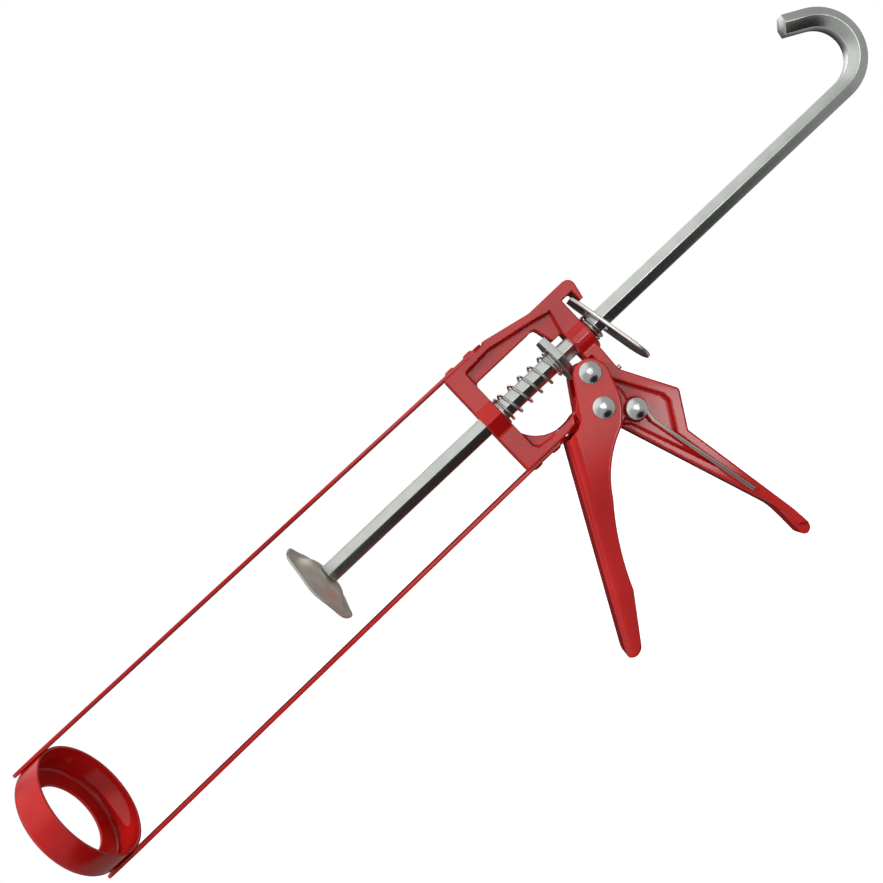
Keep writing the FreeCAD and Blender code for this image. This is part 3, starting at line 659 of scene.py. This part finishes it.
def drawn_along(name: str, path: Path, section: Sequence[Spot], side: Vector) -> bpy.types.Mesh:
    """A section swept along a path with no twist.

    Args:
        name: the mesh's name.
        path: the points that it follows.
        section: its outline, as offsets along the side direction and square to it.
        side: a direction that is never along the path.

    Returns:
        The mesh.
    """
    rings = []
    for index, point in enumerate(path):
        before = path[max(index - 1, 0)]
        after = path[min(index + 1, len(path) - 1)]
        heading = (after - before).normalized()
        up = side.cross(heading).normalized()
        across = heading.cross(up).normalized()
        rings.append([point + across * first + up * second for first, second in section])
    return skin(name, rings)


def circle(radius: float, sides: int) -> list[Spot]:
    """A round section."""
    turns = [math.tau * index / sides for index in range(sides)]
    return [(radius * math.cos(turn), radius * math.sin(turn)) for turn in turns]


def lathe(name: str, profile: Sequence[Spot], centre: Vector, axis: Vector, start: Vector, sides: int,
          wave: Callable[[float, float], float]) -> bpy.types.Mesh:
    """A closed profile turned about an axis.

    Args:
        name: the mesh's name.
        profile: places along the axis from the centre, with radii.
        centre: a point on the axis.
        axis: the axis.
        start: a direction at right angles to it.
        sides: steps round the turn.
        wave: an extra shift along the axis, from the turn and the radius.

    Returns:
        The mesh.
    """
    across = axis.cross(start).normalized()
    rings = []
    for index in range(sides):
        turn = math.tau * index / sides
        out = start * math.cos(turn) + across * math.sin(turn)
        rings.append([
            centre + axis * (along + wave(turn, radius)) + out * radius for along, radius in profile])
    return skin(name, rings, closed=True)


def arc_points(centre: Spot, radius: float, first: float, last: float, steps: int) -> list[Spot]:
    """Points on an arc in a profile's plane.

    Args:
        centre: the arc's centre.
        radius: its radius.
        first: where it starts, in degrees.
        last: where it ends, in degrees.
        steps: how many steps it takes.

    Returns:
        The points, in order.
    """
    turns = [math.radians(first + (last - first) * index / steps) for index in range(steps + 1)]
    return [(centre[0] + radius * math.cos(turn), centre[1] + radius * math.sin(turn)) for turn in turns]


# ---------------------------------------------------------------- frame


@dataclass
class OpenFrame:
    """The ring, rails and cast frame, all enamelled red.

    Args:
        lip: round on the ring's and rails' edges.
        pin_round: round on the back pin's end.
        cast_cell: remesh cell of the casting.
        cast_passes: relaxing passes of the casting.
        cast_keep: share of the casting's faces that is left.
        stud_cell: remesh cell of the studs.
        stud_passes: relaxing passes of the studs.
    """

    lip: float = 0.35 * MM
    pin_round: float = 0.3 * MM
    cast_cell: float = 0.36 * MM
    cast_passes: int = 6
    cast_keep: float = 0.6
    stud_cell: float = 0.18 * MM
    stud_passes: int = 4

    def build(self) -> None:
        """Make every piece of the frame."""
        self.casting()
        self.ring()
        for side in ("upper", "lower"):
            self.rail(side)
        eased("back_pin", "frame_pin", self.pin_round).fit(ZINC_PLATE, "frame", "frame_pin")

    def casting(self) -> None:
        """Make the cast frame, with its edges and corners softened."""
        piece = softened("cast_frame", "frame_casting", self.cast_cell, self.cast_passes, self.cast_keep)
        piece.fit(RED_CASTING, "frame", "frame_casting")

    def ring(self) -> None:
        """Make the pressed ring, with its edges broken."""
        eased("cartridge_cup", "front_ring", self.lip).fit(RED_PAINT, "frame", "front_ring")

    def rail(self, side: str) -> None:
        """Make one strap and the two studs that hold its tail.

        Args:
            side: "upper" or "lower".
        """
        strap = eased(side + "_strap", side + "_rail", self.lip)
        strap.fit(RED_PAINT, "frame", side + "_rail")
        studs = softened(side + "_strap_studs", side + "_rail_studs", self.stud_cell, self.stud_passes)
        studs.fit(RED_PAINT, "frame", side + "_rail_studs")


# ---------------------------------------------------------------- rod and plunger


@dataclass
class PushRod:
    """The hexagonal rod with its hook, and the plunger that turns on its end.

    Args:
        corner: round on the rod's corners.
        washer_round: round on the spigot washer's edges.
        thick: the plunger's sheet.
        bore: radius of the hole that turns on the spigot.
        profile: the plunger's front face from the bore out, as drops below its crown with shares of
            its radius.
        brim_drop: drop of the brim's edge below the crown.
        waves: lobes round the plunger's brim.
        lift: height of the lobes.
        wander: uneven part of the brim's height.
        spots: how often the uneven part changes round the brim.
        sides: steps round the plunger.
    """

    corner: float = 0.45 * MM
    washer_round: float = 0.15 * MM
    thick: float = 1.2 * MM
    bore: float = 2.85 * MM
    profile: tuple[Spot, ...] = (
        (-0.05 * MM, 0.24), (0.10 * MM, 0.38), (0.65 * MM, 0.48), (1.8 * MM, 0.56),
        (3.2 * MM, 0.63), (4.2 * MM, 0.71), (4.55 * MM, 0.82))
    brim_drop: float = 4.2 * MM
    waves: int = 6
    lift: float = 0.38 * MM
    wander: float = 0.25 * MM
    spots: float = 1.7
    sides: int = 96

    def build(self) -> None:
        """Make the rod, its washer and the plunger."""
        eased("hexagon_rod", "push_rod", self.corner, 0.1).fit(ZINC_ROD, "rod", "push_rod")
        washer = eased("spigot_washer", "plunger_washer", self.washer_round)
        washer.fit(ZINC_PLATE, "rod", "plunger_washer")
        self.plunger().fit(DULL_STEEL, "plunger", "plunger_plate")

    def brim_wave(self, turn: float, radius: float, reach: float) -> float:
        """How far the brim is bent along the rod.

        Args:
            turn: place round the brim, in radians.
            radius: place out from the rod.
            reach: the plunger's radius.

        Returns:
            The bend, in metres.
        """
        share = max(0.0, (radius / reach - 0.5) / 0.5) ** 2
        lobes = math.cos(self.waves * turn) * self.lift
        spot = Vector((math.cos(turn) * self.spots, math.sin(turn) * self.spots, 3.1))
        return share * (lobes + noise.noise(spot) * self.wander)

    def plunger(self) -> Piece:
        """Press the plunger: a raised crown, a soft shoulder and a wavy brim.

        Returns:
            The plunger.
        """
        low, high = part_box("plunger_plate")
        washer_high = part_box("plunger_washer")[1]
        reach = high.z
        crown = washer_high.x - low.x
        half = self.thick / 2
        front = [(crown - drop, reach * share) for drop, share in self.profile]
        front.append((crown - self.brim_drop, reach - 0.35 * MM))
        lip = arc_points((front[-1][0] + half, reach - half), half, 200.0, -20.0, 5)
        rear = [(along + self.thick, radius + 0.2 * MM) for along, radius in reversed(front[:-1])]
        outline = [(crown, self.bore), *front, *lip, *rear, (crown + self.thick, self.bore)]
        mesh = lathe("pressed_plunger", outline, Vector((low.x, 0, 0)), X_AXIS, Z_AXIS, self.sides,
                     lambda turn, radius: self.brim_wave(turn, radius, reach))
        piece = Piece("pressed_plunger", mesh)
        return piece.shape("SUBSURF", levels=1, render_levels=1).settle().smooth()


# ---------------------------------------------------------------- springs and plates


@dataclass
class Coil:
    """A round-wire spring whose end turns lie closed.

    Args:
        name: the piece's name.
        node: the CAD spring that it stands for.
        wire: the wire's thickness.
        turns: working turns.
        closed: closed turns at each end.
        joint: the joint that would shorten it; not used.
        keep: share of its length left at the joint's limit; not used.
        steps_per_turn: how finely it is wound.
        wire_sides: how round its wire is.
    """

    name: str
    node: str
    wire: float
    turns: float
    closed: float
    joint: str
    keep: float
    steps_per_turn: int = 28
    wire_sides: int = 14

    @property
    def whole(self) -> float:
        """All its turns, the closed ones among them."""
        return self.turns + 2 * self.closed

    def climb(self, turn: float, run: float) -> float:
        """Place along the spring, from 0 to 1.

        Args:
            turn: turns wound so far.
            run: length of the whole winding, from wire centre to wire centre.

        Returns:
            The share of the run.
        """
        shut = self.wire / run
        tail = self.closed * shut
        if turn < self.closed:
            return turn * shut
        if turn > self.whole - self.closed:
            return 1 - (self.whole - turn) * shut
        share = (turn - self.closed) / self.turns
        return tail + (1 - 2 * tail) * share

    def build(self) -> None:
        """Wind the spring."""
        low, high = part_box(self.node)
        half_wire = self.wire / 2
        radius = (high.z - low.z) / 2 - half_wire
        centre = (high + low) / 2
        steps = int(self.whole * self.steps_per_turn)
        run = high.x - low.x - self.wire
        path = []
        for index in range(steps + 1):
            turn = self.whole * index / steps
            along = low.x + half_wire + run * self.climb(turn, run)
            across = centre.y + radius * math.cos(math.tau * turn)
            up = centre.z + radius * math.sin(math.tau * turn)
            path.append(Vector((along, across, up)))
        mesh = drawn_along(self.name, path, circle(half_wire, self.wire_sides), X_AXIS)
        spring = Piece(self.name, mesh).smooth(60.0).fit(SPRING_WIRE, "frame", self.node)
        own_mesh(spring)


@dataclass
class Plates:
    """The plated pieces on and beside the rod: both plates, the spring's washer, the roller and the bush.

    Args:
        grip_edge: round on the grip plate's edges.
        thumb_edge: round on the release plate's edges.
        turned_edge: round on the washer's and the bush's edges.
        roller_edge: round on the roller's edges.
    """

    grip_edge: float = 0.14 * MM
    thumb_edge: float = 0.3 * MM
    turned_edge: float = 0.15 * MM
    roller_edge: float = 0.2 * MM

    def build(self) -> None:
        """Make every plated piece."""
        for name, node, body, edge in (
            ("grip_plate", "drive_plate", "drive_plate", self.grip_edge),
            ("thumb_release", "release_plate", "release_plate", self.thumb_edge),
            ("seat_washer", "spring_washer", "frame", self.turned_edge),
            ("roller_sleeve", "drive_roller", "roller", self.roller_edge),
            ("pivot_sleeve", "pivot_bush", "frame", self.turned_edge),
        ):
            eased(name, node, edge).fit(ZINC_PLATE, body, node)


# ---------------------------------------------------------------- trigger


@dataclass
class TriggerPressing:
    """The channel trigger with its three domed rivets.

    Args:
        cell: remesh cell of the sheet.
        passes: relaxing passes of the sheet.
        keep: share of the sheet's faces that is left.
        dome_edge: round on the rivets' edges.
        washer_edge: round on the washer's edges.
    """

    cell: float = 0.32 * MM
    passes: int = 5
    keep: float = 0.6
    dome_edge: float = 0.12 * MM
    washer_edge: float = 0.15 * MM

    def build(self) -> None:
        """Make the trigger, the rivets and the washer under the wire's eye."""
        sheet = softened("trigger_pressing", "trigger", self.cell, self.passes, self.keep)
        sheet.fit(RED_PAINT, "trigger", "trigger")
        for name, node, body in (
            ("domed_drive_rivet", "drive_pin_rivet", "trigger"),
            ("domed_pivot_rivet", "trigger_pivot_rivet", "frame"),
            ("domed_piercer_rivet", "piercer_rivet", "frame"),
        ):
            eased(name, node, self.dome_edge).fit(RIVET_STEEL, body, node)
        washer = eased("piercer_seat_washer", "piercer_washer", self.washer_edge)
        washer.fit(ZINC_PLATE, "frame", "piercer_washer")


@dataclass
class SealPiercer:
    """The seal-piercing wire.

    Args:
        crease: edges sharper than this many degrees stay sharp.
    """

    crease: float = 50.0

    def build(self) -> None:
        """Dress the wire."""
        piece = Piece("piercing_wire", welded_copy("seal_piercer")).smooth(self.crease)
        piece.fit(TAN_WIRE, "piercer", "seal_piercer")


# ---------------------------------------------------------------- studio


@dataclass(frozen=True)
class Panel:
    """A soft light far off, as the gun's surfaces mirror it.

    Args:
        facing: the way to its middle.
        spread: its half-width, in degrees.
        fade: how far its edge fades, in degrees.
        level: its brightness.
    """

    facing: tuple[float, float, float]
    spread: float
    fade: float
    level: float

    def light(self, bench: Bench, ray: Flow) -> Flow:
        """Its brightness in a direction.

        Args:
            bench: the room's bench.
            ray: the direction.

        Returns:
            The brightness.
        """
        middle = tuple(Vector(self.facing).normalized())
        near = bench.flow(
            "ShaderNodeVectorMath", {"operation": "DOT_PRODUCT"}, {0: ray, 1: middle}, "Value")
        outer = math.cos(math.radians(self.spread + self.fade))
        inner = math.cos(math.radians(self.spread))
        return bench.flow(
            "ShaderNodeMapRange", {"interpolation_type": "SMOOTHSTEP"},
            {"Value": near, "From Min": outer, "From Max": inner, "To Min": 0.0, "To Max": self.level})


@dataclass
class Studio:
    """Camera, lights, floor and the light of the room.

    Args:
        stand: where the camera stands.
        roll: how far it is rolled to the right, in degrees.
        yaw: how far it is turned, in degrees.
        lens: its focal length, in millimetres.
        film: its width of view at that length, in millimetres.
        drop: how far the floor lies under the gun.
        floor_half: half the floor's side.
        gloom: the room's own brightness between the panels.
        tint: the colour of the room's light.
        panels: the soft lights round the gun.
        lamp_place: where the lamp hangs.
        lamp_side: the lamp's width and height.
        lamp_watts: the lamp's power.
    """

    stand: Vector = field(default_factory=lambda: Vector((0.2214, -0.380, 0.0078)))
    roll: float = 43.35
    yaw: float = 0.855
    lens: float = 38.67
    film: float = 36.0
    drop: float = 0.30
    floor_half: float = 6.0
    gloom: float = 0.34
    tint: Colour = (1.0, 0.995, 0.985, 1.0)
    panels: tuple[Panel, ...] = (
        Panel((0.154, -1.0, 0.164), 14.5, 3.5, 1.45),
        Panel((-0.25, -0.45, 1.0), 26.0, 26.0, 0.42),
        Panel((-1.0, -0.25, 0.35), 14.0, 16.0, 0.25),
        Panel((0.18, -0.96, -0.165), 1.6, 2.4, 5.0),
        Panel((0.1, 0.6, 0.8), 20.0, 20.0, 0.9),
        Panel((-0.06, -0.5, -0.86), 21.0, 15.0, -0.325),
        Panel((-0.1, 1.0, -0.05), 22.0, 16.0, -0.32),
    )
    lamp_place: Vector = field(default_factory=lambda: Vector((-0.30, -0.75, 0.80)))
    lamp_side: float = 0.25
    lamp_watts: float = 5.0

    def build(self) -> None:
        """Set the studio up."""
        self.camera()
        self.floor()
        self.room()
        self.lamp()
        bpy.context.scene.view_settings.view_transform = "Standard"

    def camera(self) -> None:
        """Stand the camera beside the gun."""
        data = bpy.data.cameras.new("studio_camera")
        data.lens = self.lens
        data.sensor_width = self.film
        data.clip_start = 0.01
        camera = bpy.data.objects.new("studio_camera", data)
        level = Matrix.Rotation(math.radians(90.0), 4, "X")
        yawed = Matrix.Rotation(math.radians(self.yaw), 4, "Y")
        rolled = Matrix.Rotation(math.radians(-self.roll), 4, "Z")
        camera.matrix_world = Matrix.Translation(self.stand) @ level @ yawed @ rolled
        bpy.context.scene.collection.objects.link(camera)
        bpy.context.scene.camera = camera

    def floor(self) -> None:
        """Lay a wide pale floor below the gun."""
        low, high = CAD_BOX
        middle = (low + high) / 2
        level = low.z - self.drop
        corners = [
            (middle.x + x * self.floor_half, middle.y + y * self.floor_half, level)
            for x, y in ((-1, -1), (1, -1), (1, 1), (-1, 1))]
        mesh = bpy.data.meshes.new("studio_floor")
        mesh.from_pydata(corners, [], [(0, 1, 2, 3)])
        mesh.materials.append(stock(Backdrop()))
        floor = bpy.data.objects.new("studio_floor", mesh)
        bpy.context.scene.collection.objects.link(floor)
        floor.visible_glossy = False
        floor.visible_diffuse = False

    def room(self) -> None:
        """Light the room: white to the eye, with soft panels in the dark for the finishes to mirror."""
        world = bpy.data.worlds.new("studio_room")
        world.use_nodes = True
        bpy.context.scene.world = world
        bench = Bench("room_glow", world.node_tree)
        ray = bench.flow("ShaderNodeTexCoord", {}, {}, "Generated")
        glow: Flow | float = self.gloom
        for panel in self.panels:
            glow = glow + panel.light(bench, ray)
        paper = bench.flow("ShaderNodeBackground", {}, {"Color": (1, 1, 1, 1), "Strength": 1.0})
        shine = bench.flow("ShaderNodeBackground", {}, {"Color": self.tint, "Strength": glow})
        seen = bench.flow("ShaderNodeLightPath", {}, {}, "Is Camera Ray")
        room = bench.flow("ShaderNodeMixShader", {}, {0: seen, 1: shine, 2: paper})
        bench.node("ShaderNodeOutputWorld", {}, {"Surface": room})

    def lamp(self) -> None:
        """Hang one soft lamp that faces the gun and shows in no reflection."""
        data = bpy.data.lights.new("key_lamp", "AREA")
        data.shape = "RECTANGLE"
        data.size = self.lamp_side
        data.size_y = self.lamp_side
        data.energy = self.lamp_watts
        lamp = bpy.data.objects.new("key_lamp", data)
        lamp.visible_glossy = False
        target = (CAD_BOX[0] + CAD_BOX[1]) / 2
        facing = (target - self.lamp_place).to_track_quat("-Z", "Y").to_matrix().to_4x4()
        lamp.matrix_world = Matrix.Translation(self.lamp_place) @ facing
        bpy.context.scene.collection.objects.link(lamp)


# ---------------------------------------------------------------- assembly


def slide_keep(node: str, joint: str) -> float:
    """Share of a spring's length left when a sliding joint is at its far limit.

    Args:
        node: the CAD spring.
        joint: the joint that shortens it.

    Returns:
        The share, from 0 to 1.
    """
    low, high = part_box(node)
    found = next(item for item in frame["joints"] if item["name"] == joint)
    travel = max(abs(limit) for limit in found["range_m"])
    return 1.0 - travel / (high.x - low.x)


def springs() -> tuple[Coil, Coil]:
    """The two springs on the rod.

    Returns:
        The grip plate's long spring and the thumb plate's short one.
    """
    grip = Coil(
        "grip_spring", "drive_spring", wire=1.1 * MM, turns=4.6, closed=1.0, joint="drive_slide",
        keep=slide_keep("drive_spring", "drive_slide"))
    thumb = Coil(
        "thumb_spring", "release_spring", wire=1.0 * MM, turns=1.5, closed=0.35, joint="release_tilt",
        keep=0.5)
    return grip, thumb


def main() -> None:
    """Build the gun and its studio."""
    logging.basicConfig(level=logging.INFO, format="%(message)s")
    Studio().build()
    OpenFrame().build()
    PushRod().build()
    Plates().build()
    for spring in springs():
        spring.build()
    TriggerPressing().build()
    SealPiercer().build()


if __name__ == "__main__":
    main()
